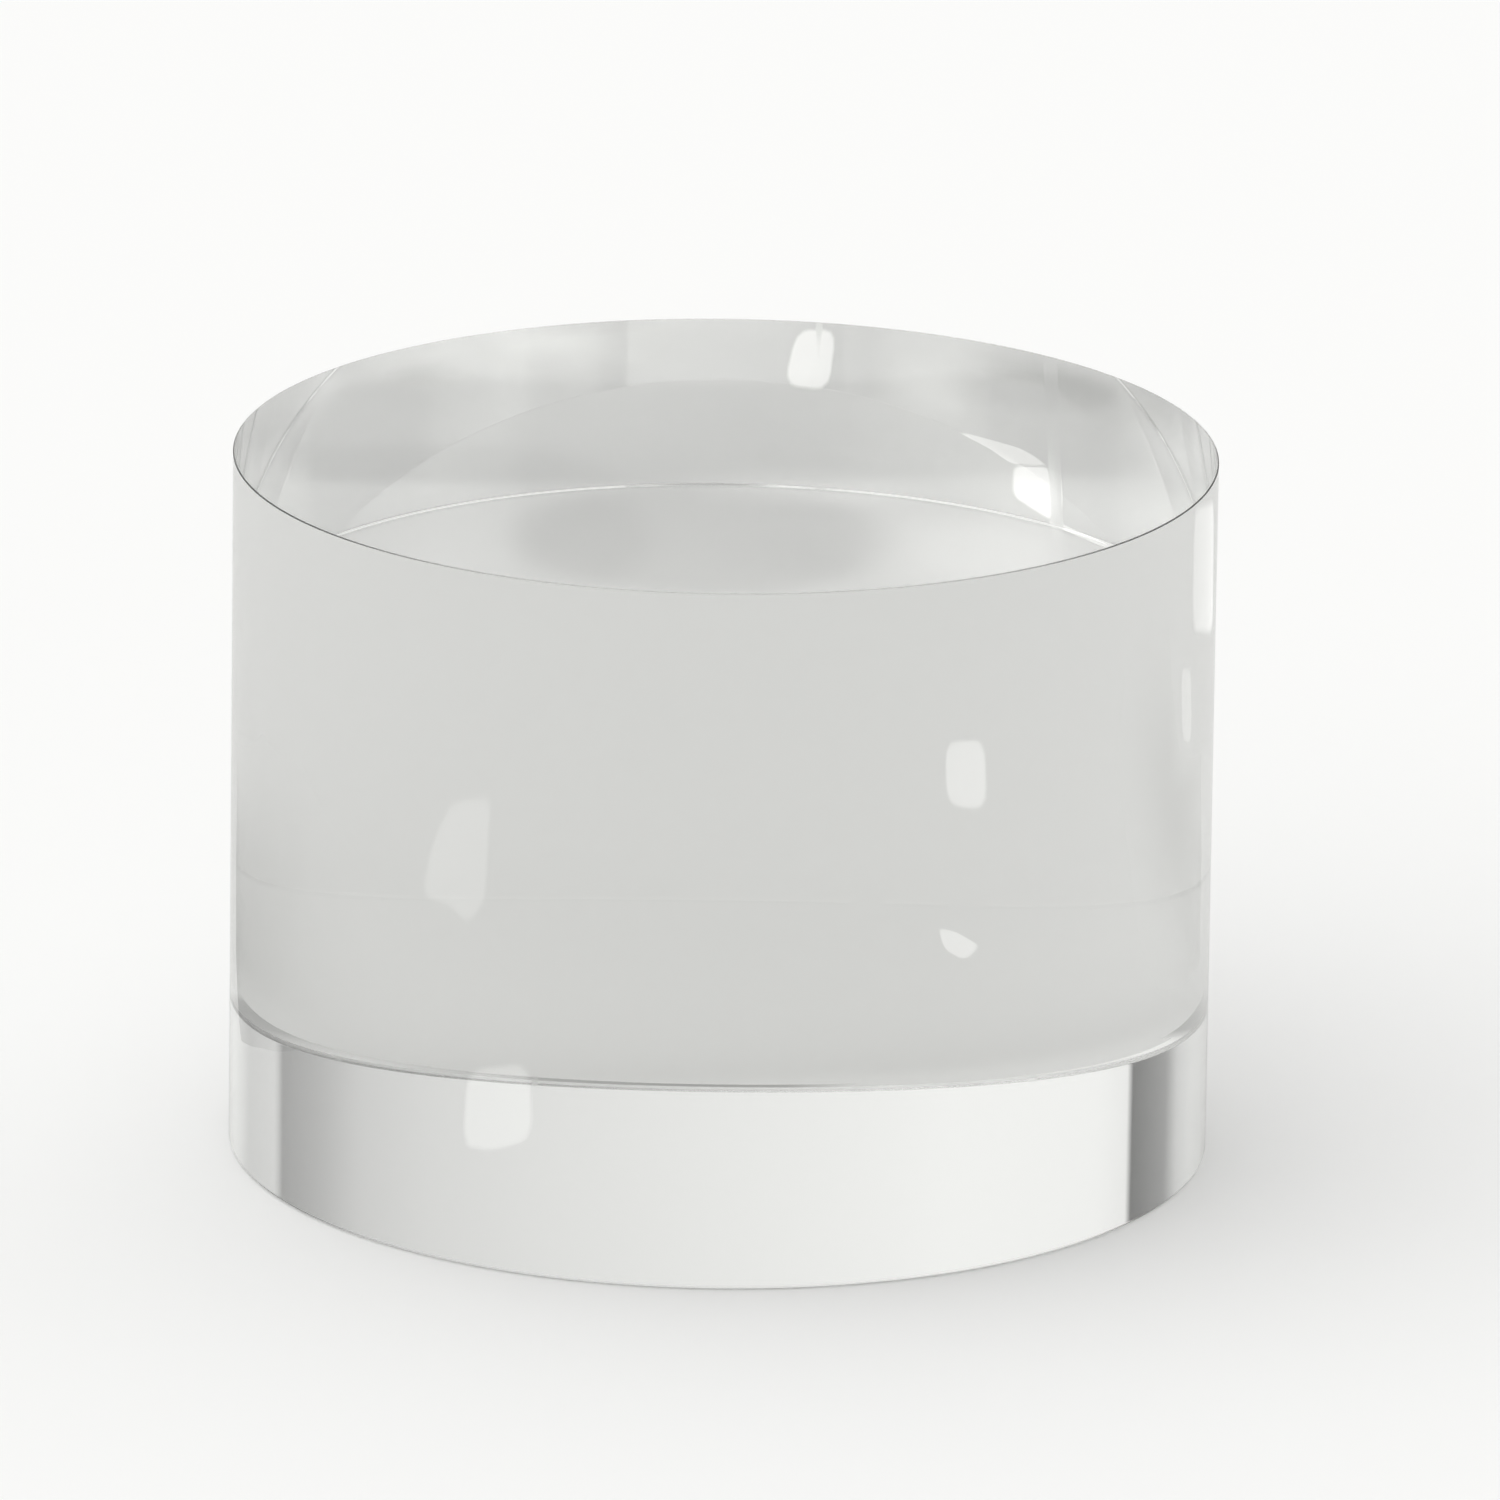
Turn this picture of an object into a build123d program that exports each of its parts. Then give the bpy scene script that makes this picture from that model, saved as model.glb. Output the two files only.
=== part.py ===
from build123d import *

import math
import os

# Round clear acrylic display block.
#
# A solid, transparent cylinder cast and turned from one piece of acrylic (PMMA) rod. It stands on one flat end and
# carries an exhibit on the other. Both ends are faced flat and polished, the wall is turned and polished, and the sharp
# arris at each end is broken with a fine 45 degree chamfer whose two corners are eased by the polishing. The base takes
# the wear, so its arris is broken more than the display face's, which is left as crisp as polishing allows.
#
# There is nothing else in it: no insert, fastener, foot, film, bore or joint. It is one physical piece, so it is one
# solid in one node.
#
# Frame: +Z up, origin at the centre of the flat base, millimetres.

# ---- driving dimensions (mm) ----
DIAMETER = 55.0  # turned outside diameter
HEIGHT = 40.0  # base plane to display plane
BASE_BREAK = 0.15  # leg of the 45 degree chamfer round the base
BASE_EASE = 0.04  # radius that polishing leaves on the two corners of that chamfer
TOP_BREAK = 0.05  # leg of the 45 degree chamfer round the display face
TOP_EASE = 0.015  # radius that polishing leaves on the two corners of that chamfer

# ---- derived ----
RADIUS = DIAMETER / 2
BASE_LAND_RADIUS = RADIUS - BASE_BREAK  # flat land of each end face
TOP_LAND_RADIUS = RADIUS - TOP_BREAK


def half_section():
    """The lathe profile: a closed outline on the XZ plane, from the axis out to the wall and back."""
    outline = Polyline(
        (0, 0),
        (BASE_LAND_RADIUS, 0),
        (RADIUS, BASE_BREAK),
        (RADIUS, HEIGHT - TOP_BREAK),
        (TOP_LAND_RADIUS, HEIGHT),
        (0, HEIGHT),
        close=True,
    )
    face = make_face(Plane.XZ * outline)
    # ease the two corners of each chamfer, leaving the two corners on the axis alone
    for ease, low, high in ((BASE_EASE, -1.0, HEIGHT / 2), (TOP_EASE, HEIGHT / 2, HEIGHT + 1.0)):
        corners = [v for v in face.vertices() if v.X > 1.0 and low < v.Z < high and not eased(v)]
        assert len(corners) == 2, f"expected two corners, got {len(corners)}"
        face = fillet(corners, radius=ease)
    return face


def eased(vertex):
    """True unless the vertex is one of the outline's own chamfer corners."""
    own = (
        (BASE_LAND_RADIUS, 0),
        (RADIUS, BASE_BREAK),
        (RADIUS, HEIGHT - TOP_BREAK),
        (TOP_LAND_RADIUS, HEIGHT),
    )
    return all(math.hypot(vertex.X - x, vertex.Z - z) > 1e-6 for x, z in own)


def display_block():
    """The whole block, turned about Z."""
    return revolve(half_section(), axis=Axis.Z, revolution_arc=360)


def main():
    os.makedirs("parts", exist_ok=True)
    block = display_block()
    block.label = "display_block"
    solids = block.solids()
    assert len(solids) == 1, f"expected one solid, got {len(solids)}"
    box = block.bounding_box()
    ideal = math.pi * RADIUS**2 * HEIGHT
    print(
        f"display_block: {box.size.X:.3f} x {box.size.Y:.3f} x {box.size.Z:.3f} mm, "
        f"z {box.min.Z:.3f} to {box.max.Z:.3f}, volume {block.volume:.1f} mm3 ({block.volume / ideal:.5f} of a plain cylinder)"
    )
    export_step(solids[0], "parts/display_block.step")


main()
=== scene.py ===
import math

import bmesh
import bpy
from mathutils import Matrix, Vector


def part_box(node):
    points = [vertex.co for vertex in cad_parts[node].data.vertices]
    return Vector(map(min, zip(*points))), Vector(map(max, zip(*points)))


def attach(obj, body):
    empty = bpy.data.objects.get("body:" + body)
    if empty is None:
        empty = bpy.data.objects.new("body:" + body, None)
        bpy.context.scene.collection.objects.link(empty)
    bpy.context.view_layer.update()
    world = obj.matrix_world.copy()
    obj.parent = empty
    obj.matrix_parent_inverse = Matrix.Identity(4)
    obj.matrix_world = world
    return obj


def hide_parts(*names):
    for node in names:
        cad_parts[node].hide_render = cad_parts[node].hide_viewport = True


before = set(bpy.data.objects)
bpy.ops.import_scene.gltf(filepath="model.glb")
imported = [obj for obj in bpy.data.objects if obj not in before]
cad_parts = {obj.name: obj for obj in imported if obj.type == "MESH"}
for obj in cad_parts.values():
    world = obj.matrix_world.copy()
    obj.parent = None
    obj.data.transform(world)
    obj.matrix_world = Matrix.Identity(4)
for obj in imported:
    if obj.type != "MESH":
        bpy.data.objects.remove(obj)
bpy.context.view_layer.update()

# ---------------------------------------------------------------- sizes, from the frame
LOW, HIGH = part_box("display_block")
RADIUS = (HIGH.x - LOW.x) / 2
HEIGHT = HIGH.z - LOW.z
BASE_BREAK, BASE_EASE = 0.00015, 0.00004      # the broken edge round the base, and the ease of its two corners
TOP_BREAK, TOP_EASE = 0.00005, 0.000015       # and the crisper one round the display face
AIR_GAP = 0.00010          # the block lies on the floor, it doesn't wet it

scene = bpy.context.scene


# ---------------------------------------------------------------- camera
def make_camera():
    distance = 45.08 * RADIUS
    elevation = math.radians(17.08)
    centre_z = HEIGHT / 2
    eye = Vector((0, -distance * math.cos(elevation), centre_z + distance * math.sin(elevation)))
    forward = Vector((0, math.cos(elevation), -math.sin(elevation)))
    right = Vector((1, 0, 0))
    up = right.cross(forward)
    pan, tilt, roll = math.radians(0.0721), math.radians(0.1198), math.radians(0.7594)
    forward = (forward * math.cos(pan) * math.cos(tilt) + right * math.sin(pan) + up * math.sin(tilt)).normalized()
    side = forward.cross(up).normalized()
    top = side.cross(forward)
    side2 = side * math.cos(roll) + top * math.sin(roll)
    top2 = -side * math.sin(roll) + top * math.cos(roll)
    data = bpy.data.cameras.new("camera")
    data.sensor_width = 36
    data.lens = 22118 / 1500 * 36
    data.clip_start = 0.01
    data.clip_end = 100
    cam = bpy.data.objects.new("camera", data)
    cam.matrix_world = Matrix((
        (side2.x, top2.x, -forward.x, eye.x),
        (side2.y, top2.y, -forward.y, eye.y),
        (side2.z, top2.z, -forward.z, eye.z),
        (0, 0, 0, 1),
    ))
    scene.collection.objects.link(cam)
    scene.camera = cam
    return cam


make_camera()


# ---------------------------------------------------------------- mesh helpers
def link_mesh(name, bm):
    bmesh.ops.recalc_face_normals(bm, faces=bm.faces)
    mesh = bpy.data.meshes.new(name)
    bm.to_mesh(mesh)
    bm.free()
    obj = bpy.data.objects.new(name, mesh)
    scene.collection.objects.link(obj)
    return obj


def turn(name, profile, segments):
    """Turns a half section, a list of (radius, z), round Z. A radius of 0 closes an end."""
    bm = bmesh.new()
    rings = []
    for r, z in profile:
        if r == 0:
            rings.append([bm.verts.new((0, 0, z))])
        else:
            rings.append([
                bm.verts.new((r * math.cos(2 * math.pi * k / segments), r * math.sin(2 * math.pi * k / segments), z))
                for k in range(segments)
            ])
    for a, b in zip(rings[:-1], rings[1:]):
        for k in range(segments):
            n = (k + 1) % segments
            if len(a) == 1:
                bm.faces.new((a[0], b[n], b[k]))
            elif len(b) == 1:
                bm.faces.new((a[k], a[n], b[0]))
            else:
                bm.faces.new((a[k], a[n], b[n], b[k]))
    obj = link_mesh(name, bm)
    for p in obj.data.polygons:
        p.use_smooth = True
    return obj


def arc(cx, cz, r, a0, a1, steps):
    """Points on an arc in the half section, angles in degrees from +radius towards +Z."""
    return [
        (cx + r * math.cos(math.radians(a0 + (a1 - a0) * k / steps)), cz + r * math.sin(math.radians(a0 + (a1 - a0) * k / steps)))
        for k in range(steps + 1)
    ]


# ---------------------------------------------------------------- the block
# Each edge is a 45 degree chamfer whose two corners are eased by polishing. Each corner's arc is tangent to both of its faces.
def rim_profile(leg, ease):
    """The outline round the top rim, from the wall in to the flat."""
    setback = ease * math.tan(math.radians(22.5))
    guard = leg * 0.25                                     # a support loop, so that the flats and the wall keep true normals
    outer = arc(RADIUS - ease, HEIGHT - leg - setback, ease, 0, 45, 4)
    inner = arc(RADIUS - leg - setback, HEIGHT - ease, ease, 45, 90, 4)
    return [(RADIUS, HEIGHT - leg - setback - guard)] + outer + inner + [(RADIUS - leg - setback - guard, HEIGHT)]


def block_profile():
    upper = rim_profile(TOP_BREAK, TOP_EASE)
    lower = [(r, HEIGHT - z) for r, z in rim_profile(BASE_BREAK, BASE_EASE)][::-1]
    ends = [0.9, 0.72, 0.54, 0.36, 0.18, 0.06]
    base = [(0, 0)] + [(RADIUS * e, 0) for e in ends[::-1]]
    face = [(RADIUS * e, HEIGHT) for e in ends] + [(0, HEIGHT)]
    wall = [(RADIUS, HEIGHT * k / 8) for k in range(1, 8)]
    return base + lower + wall + upper + face


block = turn("display_block_acrylic", block_profile(), 720)


# ---------------------------------------------------------------- acrylic
def node(tree, kind, **inputs):
    n = tree.nodes.new(kind)
    for key, value in inputs.items():
        n.inputs[key.replace("_", " ")].default_value = value
    return n


def acrylic_material():
    """Cast acrylic, polished: clear with a faint grey-green cast, wiping haze and hairlines on the faces, and a satin broken edge."""
    m = bpy.data.materials.new("clear_acrylic")
    m.use_nodes = True
    t = m.node_tree
    b = t.nodes["Principled BSDF"]
    out = t.nodes["Material Output"]

    def link(a, b):
        t.links.new(a, b)

    def calc(op, a, b=None, c=None, clamp=False):
        n = t.nodes.new("ShaderNodeMath")
        n.operation = op
        n.use_clamp = clamp
        for k, v in enumerate((a, b, c)):
            if v is None:
                continue
            if isinstance(v, (int, float)):
                n.inputs[k].default_value = v
            else:
                link(v, n.inputs[k])
        return n.outputs[0]

    def span(value, lo, hi, a=0.0, b=1.0, kind="SMOOTHSTEP"):
        n = t.nodes.new("ShaderNodeMapRange")
        n.interpolation_type = kind
        for key, v in (("From Min", lo), ("From Max", hi), ("To Min", a), ("To Max", b)):
            n.inputs[key].default_value = v
        link(value, n.inputs["Value"])
        return n.outputs[0]

    def mapped(vector, scale=(1, 1, 1), turn=(0, 0, 0)):
        n = t.nodes.new("ShaderNodeMapping")
        n.inputs["Scale"].default_value = scale
        n.inputs["Rotation"].default_value = [math.radians(v) for v in turn]
        link(vector, n.inputs["Vector"])
        return n.outputs[0]

    def noise(vector, scale, detail=2.0, rough=0.5, distortion=0.0):
        n = t.nodes.new("ShaderNodeTexNoise")
        n.inputs["Scale"].default_value = scale
        n.inputs["Detail"].default_value = detail
        n.inputs["Roughness"].default_value = rough
        n.inputs["Distortion"].default_value = distortion
        link(vector, n.inputs["Vector"])
        return n.outputs["Fac"]

    place = t.nodes.new("ShaderNodeTexCoord").outputs["Object"]
    xyz = t.nodes.new("ShaderNodeSeparateXYZ")
    link(place, xyz.inputs[0])
    x, y, z = xyz.outputs
    radial = calc("SQRT", calc("ADD", calc("MULTIPLY", x, x), calc("MULTIPLY", y, y)))

    # the broken edges: scraped and only lightly buffed, the top one more satin than the base's
    def broken(leg, depth):
        return calc(
            "MULTIPLY",
            span(radial, RADIUS - leg - 0.00003, RADIUS - leg),
            span(depth, leg, leg + 0.00003, 1.0, 0.0),
        )

    top_edge = broken(TOP_BREAK, calc("SUBTRACT", HEIGHT, z))
    base_edge = broken(BASE_BREAK, z)
    wall = calc("MULTIPLY", span(radial, RADIUS * 0.997, RADIUS * 0.999), calc("SUBTRACT", 1.0, calc("MAXIMUM", top_edge, base_edge)))

    # wiping haze: broad, barely there, drawn out across the faces
    haze = span(noise(mapped(place, (1, 2.2, 1), (0, 0, 24)), 55, 2, 0.55), 0.46, 0.78)
    # hairlines: sparse fine lines, two sets crossing at a small angle
    lines = None
    for angle, scale, cut in ((31, 620, 0.73), (-18, 540, 0.74)):
        one = span(noise(mapped(place, (1, 0.012, 0.012), (0, 0, angle)), scale, 0, 0.4), cut, cut + 0.035)
        lines = one if lines is None else calc("MAXIMUM", lines, one)
    # fine rings left by turning, only on the wall, too shallow to see except where the light grazes
    rings = noise(mapped(place, (0.02, 0.02, 1)), 5200, 0, 0.6)

    rough = calc("MULTIPLY", haze, 0.008)
    rough = calc("ADD", rough, calc("MULTIPLY", lines, 0.05))
    rough = calc("ADD", rough, calc("MULTIPLY", top_edge, 0.90))
    rough = calc("ADD", rough, calc("MULTIPLY", base_edge, 0.50))
    link(rough, b.inputs["Roughness"])

    # slow waves of a hand-held buffing wheel, hairlines and turning rings, as height in metres
    slow = noise(place, 70, 0, 0.4)
    height = calc("MULTIPLY", slow, 0.0000040)
    height = calc("ADD", height, calc("MULTIPLY", lines, -0.00000012))
    height = calc("ADD", height, calc("MULTIPLY", calc("MULTIPLY", rings, wall), 0.00000005))
    bump = t.nodes.new("ShaderNodeBump")
    bump.inputs["Strength"].default_value = 1.0
    bump.inputs["Distance"].default_value = 1.0
    link(height, bump.inputs["Height"])
    link(bump.outputs["Normal"], b.inputs["Normal"])

    b.inputs["Base Color"].default_value = (1, 1, 1, 1)
    b.inputs["Transmission Weight"].default_value = 1
    b.inputs["IOR"].default_value = 1.49
    absorb = t.nodes.new("ShaderNodeVolumeAbsorption")
    absorb.inputs["Color"].default_value = (0.900, 0.902, 0.896, 1)
    absorb.inputs["Density"].default_value = 50.0
    link(absorb.outputs["Volume"], out.inputs["Volume"])
    return m


block.data.materials.append(acrylic_material())
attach(block, "root")
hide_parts("display_block")


# ---------------------------------------------------------------- stage
def floor_material():
    """Matt white paper. It is a little lighter to the eye than to the light that the block gathers."""
    m = bpy.data.materials.new("stage_floor")
    m.use_nodes = True
    t = m.node_tree
    b = t.nodes["Principled BSDF"]
    b.inputs["Roughness"].default_value = 0.9
    b.inputs["Specular IOR Level"].default_value = 0.0
    path = t.nodes.new("ShaderNodeLightPath")
    tone = t.nodes.new("ShaderNodeMix")
    tone.data_type = "RGBA"
    tone.inputs[6].default_value = (0.80, 0.80, 0.795, 1)
    tone.inputs[7].default_value = (0.90, 0.90, 0.896, 1)
    t.links.new(path.outputs["Is Camera Ray"], tone.inputs["Factor"])
    t.links.new(tone.outputs[2], b.inputs["Base Color"])
    return m


def make_floor():
    bm = bmesh.new()
    size = 12
    bm.faces.new([bm.verts.new((x * size, y * size, -AIR_GAP)) for x, y in ((-1, -1), (1, -1), (1, 1), (-1, 1))])
    obj = link_mesh("stage_floor", bm)
    obj.data.materials.append(floor_material())
    return obj


make_floor()


def make_painted_under_light_and_shade():
    """Painted light and shade on the floor beneath and close around the block, seen only through the block: an emitter
    whose positive gains are painted caustic light and whose negative gains are painted shade.
    """
    bm = bmesh.new()
    bmesh.ops.create_circle(bm, cap_ends=True, segments=96, radius=0.070)
    for v in bm.verts:
        v.co.z = -0.00007
    obj = link_mesh("stage_painted_under_light_and_shade", bm)
    m = bpy.data.materials.new("stage_painted_under_light_and_shade")
    m.use_nodes = True
    t = m.node_tree
    b = t.nodes["Principled BSDF"]
    b.inputs["Base Color"].default_value = (0.80, 0.80, 0.795, 1)
    b.inputs["Roughness"].default_value = 0.9
    b.inputs["Specular IOR Level"].default_value = 0.0
    b.inputs["Emission Color"].default_value = (1, 1, 0.99, 1)
    place = t.nodes.new("ShaderNodeTexCoord").outputs["Object"]

    def blob(x, y, rx, ry, hard):
        """1 at the middle of an ellipse in millimetres, falling to 0 at its rim; hard is where the fall starts."""
        shift = t.nodes.new("ShaderNodeMapping")
        shift.vector_type = "TEXTURE"
        shift.inputs["Location"].default_value = (x / 1000, y / 1000, 0)
        shift.inputs["Scale"].default_value = (rx / 1000, ry / 1000, 1000)
        t.links.new(place, shift.inputs["Vector"])
        size = t.nodes.new("ShaderNodeVectorMath")
        size.operation = "LENGTH"
        t.links.new(shift.outputs["Vector"], size.inputs[0])
        fall = t.nodes.new("ShaderNodeMapRange")
        fall.interpolation_type = "SMOOTHSTEP"
        for key, v in (("From Min", hard), ("From Max", 1.0), ("To Min", 1.0), ("To Max", 0.0)):
            fall.inputs[key].default_value = v
        t.links.new(size.outputs["Value"], fall.inputs["Value"])
        return fall.outputs[0]

    total = None
    for x, y, rx, ry, hard, gain in PAINTED_UNDER_LIGHT_AND_SHADE:
        part = t.nodes.new("ShaderNodeMath")
        part.operation = "MULTIPLY_ADD"
        t.links.new(blob(x, y, rx, ry, hard), part.inputs[0])
        part.inputs[1].default_value = gain
        if total is None:
            part.inputs[2].default_value = 0
        else:
            t.links.new(total, part.inputs[2])
        total = part.outputs[0]
    t.links.new(total, b.inputs["Emission Strength"])
    m.cycles.emission_sampling = "NONE"
    obj.data.materials.append(m)
    obj.visible_camera = False
    obj.visible_diffuse = False
    obj.visible_glossy = False
    obj.visible_shadow = False
    return obj


# (x, y, x radius, y radius, in millimetres, where the fall starts, gain); a positive gain is painted light, a negative
# one painted shade
PAINTED_UNDER_LIGHT_AND_SHADE = [
    (0, 0, 27.4, 27.4, 0.98, 0.24),         # painted light under the whole block
    (0, 0, 62, 62, 0.45, 0.07),             # painted light close around it
    (-1.2, 17, 12.3, 12, 0.72, -0.13),      # painted shade in the quiet middle, towards the back
    (-8.2, 17, 5.3, 12, 0.5, -0.07),        # painted shade along its crisp left side
    # a small patch of painted shade
    (7, 14, 8, 7, 0.2, -0.04),
    (15, 15, 10, 10, 0.25, 0.16),           # painted gathered light on the right
    (14.5, 3, 7, 6, 0.3, 0.11),
    (5, 27, 10, 5, 0.2, 0.12),              # painted light at the back
    (2, -14, 24, 14, 0.3, 0.08),            # and painted light along the front
]
make_painted_under_light_and_shade()


def glow(name, bm, strength, glossy, through):
    """An even emitter that the camera never sees, used for painted highlights, painted reflections and painted shade:
    only the block's polished skin (glossy) or its inside (through) shows it.
    """
    obj = link_mesh(name, bm)
    m = bpy.data.materials.new(name)
    m.use_nodes = True
    t = m.node_tree
    t.nodes.clear()
    e = t.nodes.new("ShaderNodeEmission")
    e.inputs["Color"].default_value = (1.0, 1.0, 0.985, 1)
    e.inputs["Strength"].default_value = strength
    o = t.nodes.new("ShaderNodeOutputMaterial")
    t.links.new(e.outputs[0], o.inputs["Surface"])
    m.cycles.emission_sampling = "NONE"                    # it lights nothing, it is only seen
    obj.data.materials.append(m)
    obj.visible_camera = False
    obj.visible_diffuse = False
    obj.visible_shadow = False
    obj.visible_transmission = through
    obj.visible_glossy = glossy
    return obj


def by_level(obj):
    """Makes a glow's strength follow the levels of its mesh's points."""
    t = obj.data.materials[0].node_tree
    read = t.nodes.new("ShaderNodeAttribute")
    read.attribute_name = "level"
    t.links.new(read.outputs["Fac"], t.nodes["Emission"].inputs["Strength"])
    return obj


SOFT = [(k / 6, (k / 6) ** 2 * (3 - k / 3)) for k in range(1, 7)]                    # a slow fall, all the way from the middle
CRISP = [(0.6, 0.0), (0.90, 0.0), (0.945, 0.16), (0.99, 0.5), (1.035, 0.84), (1.08, 1.0)]  # an even face with a narrow soft border


def soft_glow(name, rim, middle, fall=SOFT):
    """A glow whose strength runs from the middle's level to each rim corner's own. Corners are (x, y, z, level) in metres; fall is (how far out, how far down)."""
    bm = bmesh.new()
    level = bm.verts.layers.float.new("level")

    def corner(values):
        v = bm.verts.new(values[:3])
        v[level] = values[3]
        return v

    loops = [[corner([m + (c - m) * (down if n == 3 else out) for n, (c, m) in enumerate(zip(r, middle))]) for r in rim] for out, down in fall]
    centre = corner(middle)
    count = len(rim)
    for k in range(count):
        n = (k + 1) % count
        bm.faces.new((centre, loops[0][k], loops[0][n]))
        for a, b in zip(loops[:-1], loops[1:]):
            bm.faces.new((a[k], b[k], b[n], a[n]))
    return by_level(glow(name, bm, 1.0, glossy=True, through=False))


def rounded(points, cut=0.18):
    """The same outline with its corners cut twice."""
    for _ in range(2):
        points = [
            tuple(p + (q - p) * t for p, q in zip(a, b))
            for a, b in zip(points, points[1:] + points[:1])
            for t in (cut, 1 - cut)
        ]
    return points


def mean_point(points):
    return [sum(c) / len(points) for c in zip(*points)]


def card(name, points, strength):
    """A painted pool of light lying on the floor, seen only mirrored in the polished wall, corner points in
    millimetres. The open floor's own level is 0.84.
    """
    x, y = mean_point(points)
    soft_glow(name, [(p / 1000, q / 1000, 0.0, 0.84) for p, q in rounded(points)], (x / 1000, y / 1000, 0.0, strength), CRISP)


# Azimuths are in degrees from straight behind the block (+Y), positive towards +X.
RING = [
    (-180, 0.66), (-166, 0.60), (-152, 0.72), (-145, 0.96), (-130, 1.18), (-118, 1.34), (-108, 1.55), (-98, 1.46),
    (-94, 1.05), (-84, 0.86), (-70, 0.80), (-63, 0.64), (-58, 0.28), (-47.2, 0.16), (-46.8, 0.90), (-40, 0.97),
    (-20, 0.99), (0, 0.90), (14, 0.82), (26, 0.74), (36, 0.64), (43, 0.48), (54.6, 0.30), (55.0, 0.70),
    (68, 0.61), (76, 0.90), (82, 1.15), (108, 1.38), (126, 1.10), (132, 0.82), (150, 0.76), (180, 0.66),
]
WALL_GAIN = 1.19


# Broad soft light above the walls: (azimuth, elevation, angular radius, all degrees, gain). Gains add to the overhead's own level.
OVERHEAD = 0.84
SOFTBOXES = [
    (-122, 56, 62, 0.78),      # the key, high on the left and a little forward
    (0, 40, 60, 0.22),         # fill from behind
    (140, 38, 55, -0.62),      # the dark side of the room, forward and right
]


def make_world():
    w = bpy.data.worlds.new("studio")
    scene.world = w
    w.use_nodes = True
    t = w.node_tree
    t.nodes.clear()

    def link(a, b):
        t.links.new(a, b)

    def math_node(op, a, b=None):
        n = t.nodes.new("ShaderNodeMath")
        n.operation = op
        for k, v in enumerate((a, b)):
            if v is None:
                continue
            if isinstance(v, (int, float)):
                n.inputs[k].default_value = v
            else:
                link(v, n.inputs[k])
        return n.outputs[0]

    def map_range(value, lo, hi, a, b, kind="SMOOTHSTEP"):
        n = t.nodes.new("ShaderNodeMapRange")
        n.interpolation_type = kind
        for key, v in (("From Min", lo), ("From Max", hi), ("To Min", a), ("To Max", b)):
            n.inputs[key].default_value = v
        link(value, n.inputs["Value"])
        return n.outputs[0]

    coords = t.nodes.new("ShaderNodeTexCoord").outputs["Generated"]
    split = t.nodes.new("ShaderNodeSeparateXYZ")
    link(coords, split.inputs[0])
    azimuth = math_node("ARCTAN2", split.outputs["X"], split.outputs["Y"])
    unit = map_range(azimuth, -math.pi, math.pi, 0, 1, "LINEAR")
    ramp = t.nodes.new("ShaderNodeValToRGB")
    ramp.color_ramp.interpolation = "LINEAR"
    elements = ramp.color_ramp.elements
    while len(elements) > 1:
        elements.remove(elements[0])
    for k, (a, v) in enumerate(RING):
        at = (a + 180) / 360
        e = elements[0] if k == 0 else elements.new(at)
        e.position = at
        e.color = (v * WALL_GAIN, v * WALL_GAIN, v * WALL_GAIN, 1)
    link(unit, ramp.inputs["Fac"])

    above = OVERHEAD
    for a, e, radius, gain in SOFTBOXES:
        a, e = math.radians(a), math.radians(e)
        dot = t.nodes.new("ShaderNodeVectorMath")
        dot.operation = "DOT_PRODUCT"
        link(coords, dot.inputs[0])
        dot.inputs[1].default_value = (math.sin(a) * math.cos(e), math.cos(a) * math.cos(e), math.sin(e))
        lobe = map_range(dot.outputs["Value"], math.cos(math.radians(radius)), 1.0, 0.0, gain)
        above = math_node("ADD", lobe, above)

    # the walls give way to the soft overhead
    rise = map_range(split.outputs["Z"], 0.33, 0.46, 0, 1)
    level = math_node("ADD", math_node("MULTIPLY", math_node("SUBTRACT", above, ramp.outputs["Color"]), rise), ramp.outputs["Color"])
    studio = t.nodes.new("ShaderNodeBackground")
    studio.inputs["Color"].default_value = (1.0, 1.0, 0.992, 1)
    link(level, studio.inputs["Strength"])
    seen = t.nodes.new("ShaderNodeBackground")
    seen.inputs["Color"].default_value = (0.972, 0.972, 0.966, 1)
    path = t.nodes.new("ShaderNodeLightPath")
    pick = t.nodes.new("ShaderNodeMixShader")
    link(path.outputs["Is Camera Ray"], pick.inputs[0])
    link(studio.outputs[0], pick.inputs[1])
    link(seen.outputs[0], pick.inputs[2])
    out = t.nodes.new("ShaderNodeOutputWorld")
    link(pick.outputs[0], out.inputs["Surface"])
    return w


make_world()

# Painted pools of light on the floor, seen only as painted reflections in the polished wall, as corner points in
# millimetres.
card("stage_glow_a", [(-45, -41), (-37.7, -52.9), (-27.2, -43.4), (-29.8, -36.7), (-32.8, -33.6)], 3.5)
card("stage_glow_b", [(94, -85), (105, -68), (93, -60), (84, -77)], 4.3)
card("stage_glow_c", [(63, -64), (66, -59), (68, -50), (63, -53), (61, -60)], 4.6)
card("stage_glow_d", [(-94, -59), (-86, -75), (-78, -68), (-70, -62), (-69, -54), (-75, -50), (-81, -40), (-90, -48)], 2.3)
card("stage_glow_e", [(108, 100), (89, 113), (67, 123), (59, 111), (53, 98), (75, 89), (92, 79)], 1.38)
card("stage_glow_f", [(97, 64), (87, 72), (76, 61), (85, 55)], 1.28)


# Patches of painted shade on the floor, pale at their rims, with soft edges, seen only mirrored in the polished wall,
# in the same way: (x, y, level), a rim and a middle. The open floor's own level is 0.84.
def soft_card(name, rim, middle):
    on_floor = lambda x, y, level: (x / 1000, y / 1000, 0.0, level)
    return soft_glow(name, [on_floor(*c) for c in rim], on_floor(*middle))


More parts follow.
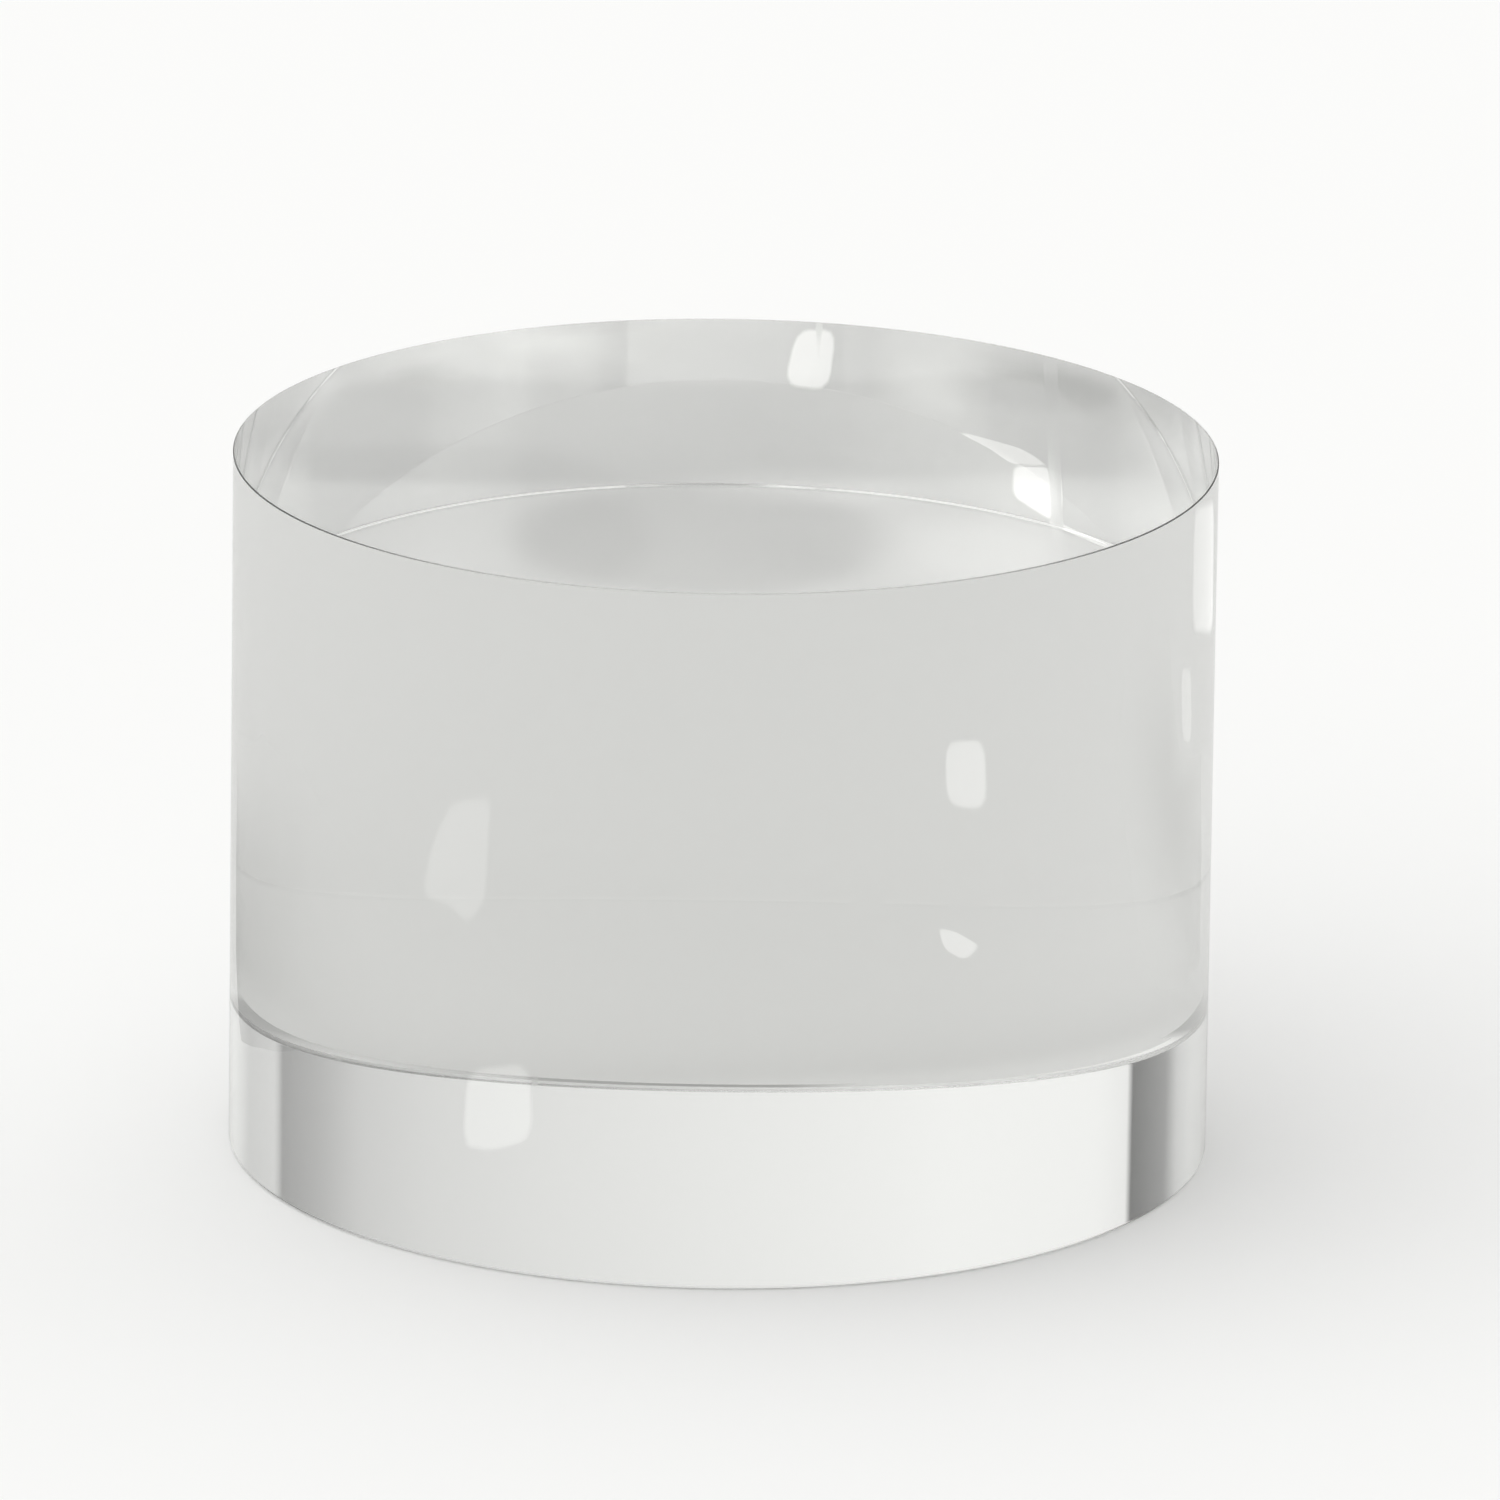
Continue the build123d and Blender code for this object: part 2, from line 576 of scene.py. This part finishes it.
soft_card(
    "stage_shade_a",
    [(-54, 70, 0.84), (-84, 54, 0.84), (-100, 25, 0.84), (-92, -12, 0.84), (-76, -32, 0.84), (-58, -34, 0.72), (-52, -24, 0.62), (-53, -13, 0.58), (-50, -2, 0.56), (-43, 8, 0.48), (-37, 14, 0.43), (-40, 31, 0.40), (-46, 50, 0.55)],
    (-58, 14, 0.24),
)
soft_card(
    "stage_shade_b",
    [(128, 22, 0.84), (127, 44, 0.84), (114, 58, 0.84), (101, 54, 0.72), (85, 51, 0.72), (64, 66, 0.80), (52, 50, 0.65), (43, 30, 0.65), (49, 22, 0.75), (57, 12, 0.84), (68, 9, 0.84), (86, 10, 0.84), (110, 8, 0.84)],
    (83, 38, 0.34),
)


def in_mirror(x, y, away=0.30):
    """The point in the air behind the block that the top face's point (x, y), in millimetres, mirrors to the camera."""
    eye = scene.camera.matrix_world.translation
    p = Vector((x / 1000, y / 1000, HEIGHT))
    d = (p - eye).normalized()
    d.z = -d.z
    return p + d * ((away - p.y) / d.y)


def hanging_painted_highlight(name, points, strength):
    """A painted highlight: a small emitter in the air behind the block that lights nothing and shows only mirrored in
    the top face, its corners given as the points on the top face that mirror them.
    """
    x, y = mean_point(points)
    soft_glow(name, [(*in_mirror(p, q), 1.06) for p, q in rounded(points)], (*in_mirror(x, y), strength), CRISP)


def hanging_soft_card(name, rim, middle):
    """The same with soft edges, used for painted highlights and painted shade alike: (x, y, level). The wall of the
    room behind is at 1.06.
    """
    there = lambda x, y, level: (*in_mirror(x, y, 0.31), level)
    return soft_glow(name, [there(*c) for c in rim], there(*middle))


# Painted highlights and painted shade, seen only mirrored in the top face.
hanging_painted_highlight("stage_painted_highlight_a", [(4.0, 25.4), (6.2, 25.3), (5.7, 13.0), (3.2, 14.0)], 2.1)
hanging_painted_highlight("stage_painted_highlight_b", [(16.0, -1.6), (17.9, -1.9), (18.4, -4.6), (18.6, -8.5), (18.1, -12.7), (17.2, -10.9), (15.9, -8.0)], 2.3)
hanging_painted_highlight("stage_painted_highlight_c", [(13.2, 4.7), (14.9, 3.2), (16.4, 1.8), (17.3, 0.0), (17.9, -1.9), (16.0, -1.7), (14.7, 1.6), (13.2, 4.2)], 1.9)
hanging_soft_card(
    "stage_painted_highlight_e",
    [(-14.5, 19.5, 1.06), (-11.8, 24.3, 1.10), (-7.0, 26.5, 1.15), (-3.2, 25.5, 1.06), (-3.6, 17.0, 1.06), (-8.3, 14.3, 1.06), (-12.6, 15.5, 1.06)],
    (-9.0, 22.0, 1.42),
)
hanging_soft_card(
    "stage_painted_highlight_f",
    [(7.5, 16.7, 1.06), (9.8, 21.8, 1.06), (13.0, 21.5, 1.06), (14.6, 15.5, 1.06), (14.5, 5.8, 1.06), (11.4, 5.5, 1.06), (8.6, 10.0, 1.06)],
    (11.6, 13.8, 1.34),
)
hanging_soft_card(
    "stage_shade_c",
    [(12.5, 22.5, 1.06), (16.5, 23.0, 1.06), (21.5, 19.0, 1.06), (24.5, 12.0, 1.06), (24.5, 7.0, 1.06), (21.5, 6.0, 1.06), (19.5, 9.5, 1.06), (18.0, 13.5, 1.06), (15.0, 16.0, 1.06), (12.5, 18.5, 1.06)],
    (17.9, 17.4, 0.72),
)
hanging_soft_card(
    "stage_shade_d",
    [(-20.8, 15.0, 1.06), (-19.0, 18.0, 1.06), (-15.0, 19.2, 1.06), (-14.0, 16.2, 1.06), (-15.5, 12.8, 1.06), (-19.0, 12.2, 1.06)],
    (-17.2, 15.8, 0.82),
)
# one more painted highlight
hanging_painted_highlight("stage_painted_highlight_d", [(18.0, -12.3), (19.6, -14.6), (21.3, -17.2), (21.2, -17.8), (19.5, -15.5), (17.9, -13.1)], 2.1)


def rim_painted_light_and_shade(name, levels, reach):
    """Painted light and shade gathered against the foot of the wall, seen only through the block. Levels are (azimuth,
    strength) pairs; reach is in metres.
    """
    bm = bmesh.new()
    level = bm.verts.layers.float.new("level")
    inner, outer = RADIUS - BASE_BREAK, RADIUS + reach
    ring = []
    for (a0, v0), (a1, v1) in zip(levels[:-1], levels[1:]):
        steps = max(1, round(abs(a1 - a0) / 2))
        for k in range(steps + 1 if (a1, v1) == levels[-1] else steps):
            a = math.radians(a0 + (a1 - a0) * k / steps)
            pair = [bm.verts.new((r * math.sin(a), r * math.cos(a), -0.00004)) for r in (inner, outer)]
            for v in pair:
                v[level] = v0 + (v1 - v0) * k / steps
            ring.append(pair)
    for p, q in zip(ring[:-1], ring[1:]):
        bm.faces.new((p[0], p[1], q[1], q[0]))
    return by_level(glow(name, bm, 1.0, glossy=False, through=True))


# painted light along the foot of the wall
rim_painted_light_and_shade("stage_rim_glow_a", [(12, 1.0), (16, 1.15), (72, 1.15)], 0.0006)
rim_painted_light_and_shade("stage_rim_glow_b", [(-72, 1.0), (-12, 1.0)], 0.0006)
rim_painted_light_and_shade("stage_rim_glow_c", [(108, 1.7), (136, 1.7)], 0.0006)
# painted contact shadow on the floor just behind the foot
rim_painted_light_and_shade("stage_rim_painted_contact_shadow", [(-10.4, 0.84), (-9.4, 0.74), (-8, 0.66), (-6, 0.50), (-1, 0.44), (2.4, 0.48), (4.6, 0.80)], 0.0011)
# a painted bright strip beside it
rim_painted_light_and_shade("stage_rim_glow_e", [(4.7, 0.90), (6.0, 1.12), (8.6, 1.12), (9.6, 1.02), (11.0, 0.90)], 0.0006)

scene.view_settings.view_transform = "Standard"
scene.cycles.caustics_reflective = True
scene.cycles.caustics_refractive = True
scene.cycles.max_bounces = 24
scene.cycles.transmission_bounces = 24
scene.cycles.glossy_bounces = 24
scene.cycles.transparent_max_bounces = 16
